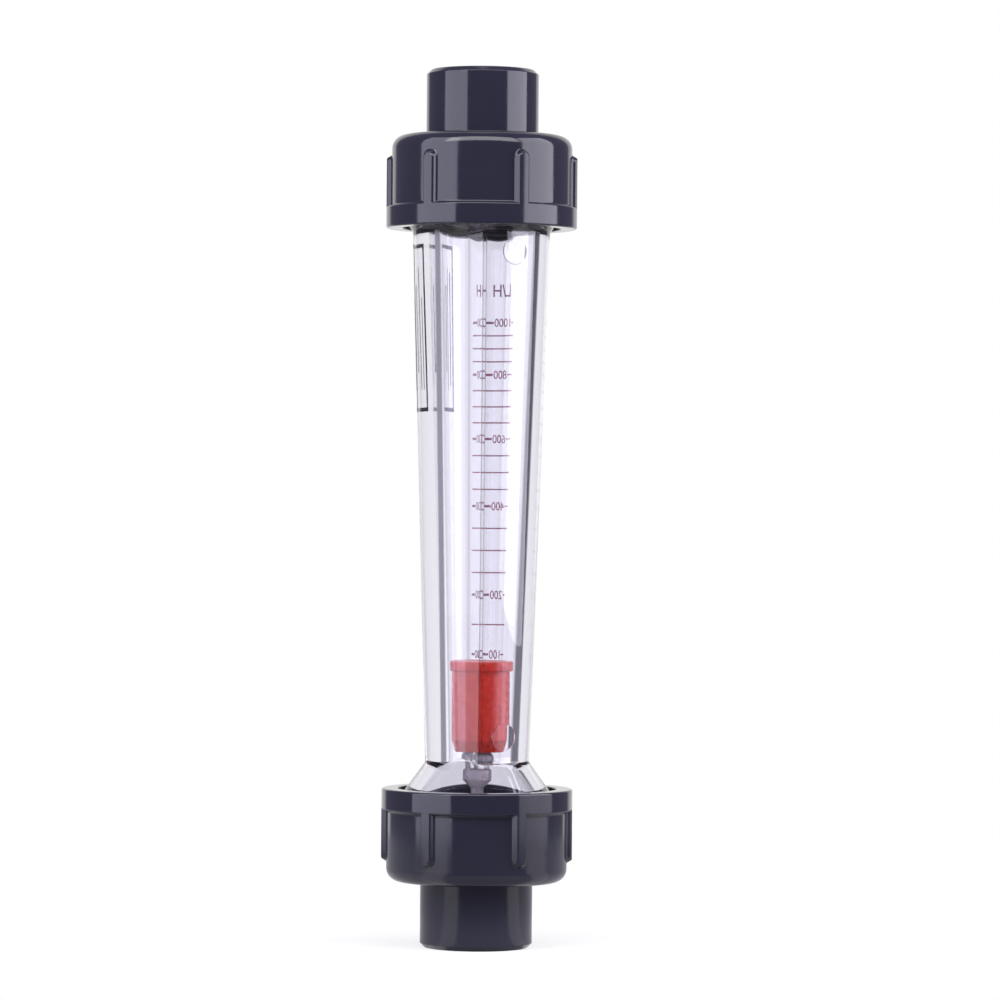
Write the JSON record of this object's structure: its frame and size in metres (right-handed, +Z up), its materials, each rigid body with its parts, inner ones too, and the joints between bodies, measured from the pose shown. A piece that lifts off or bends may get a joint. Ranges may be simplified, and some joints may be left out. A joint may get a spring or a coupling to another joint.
{
  "type": "rotameter",
  "caption": "Clear tapered flow tube with a red float that rises between two end stops, held by ribbed union nuts between pipe-socket union ends.",
  "frame": {"origin": "centre of the lower union end's mouth, the lowest point of the axis", "axes": "+Z up along the tube, with the flow; -Y is the front, where one corner of the tube faces the reader"},
  "size_m": [0.0436, 0.0436, 0.2],
  "materials": {
    "clear_plastic": "clear, polished",
    "float_plastic": "moulded red, glossy",
    "stop_plastic": "moulded translucent grey",
    "pipe_plastic": "moulded dark grey, glossy",
    "seal_rubber": "matt black",
    "weight_steel": "turned"
  },
  "bodies": {
    "meter": {"metering_tube": "clear_plastic", "lower_stop": "stop_plastic", "upper_stop": "stop_plastic", "lower_o_ring": "seal_rubber", "upper_o_ring": "seal_rubber", "lower_union_end": "pipe_plastic", "upper_union_end": "pipe_plastic"},
    "float": {"float_body": "float_plastic", "float_cap": "float_plastic", "float_weight": "weight_steel"},
    "lower_nut": {"lower_union_nut": "pipe_plastic"},
    "upper_nut": {"upper_union_nut": "pipe_plastic"}
  },
  "joints": [
    {"name": "float_slide", "type": "slide", "parent": "meter", "child": "float", "axis": [0, 0, 1], "range_m": [0, 0.1]},
    {"name": "lower_nut_turn", "type": "hinge", "parent": "meter", "child": "lower_nut", "pos_m": [0, 0, 0.025], "axis": [0, 0, 1], "continuous": true},
    {"name": "upper_nut_turn", "type": "hinge", "parent": "meter", "child": "upper_nut", "pos_m": [0, 0, 0.175], "axis": [0, 0, 1], "continuous": true}
  ]
}
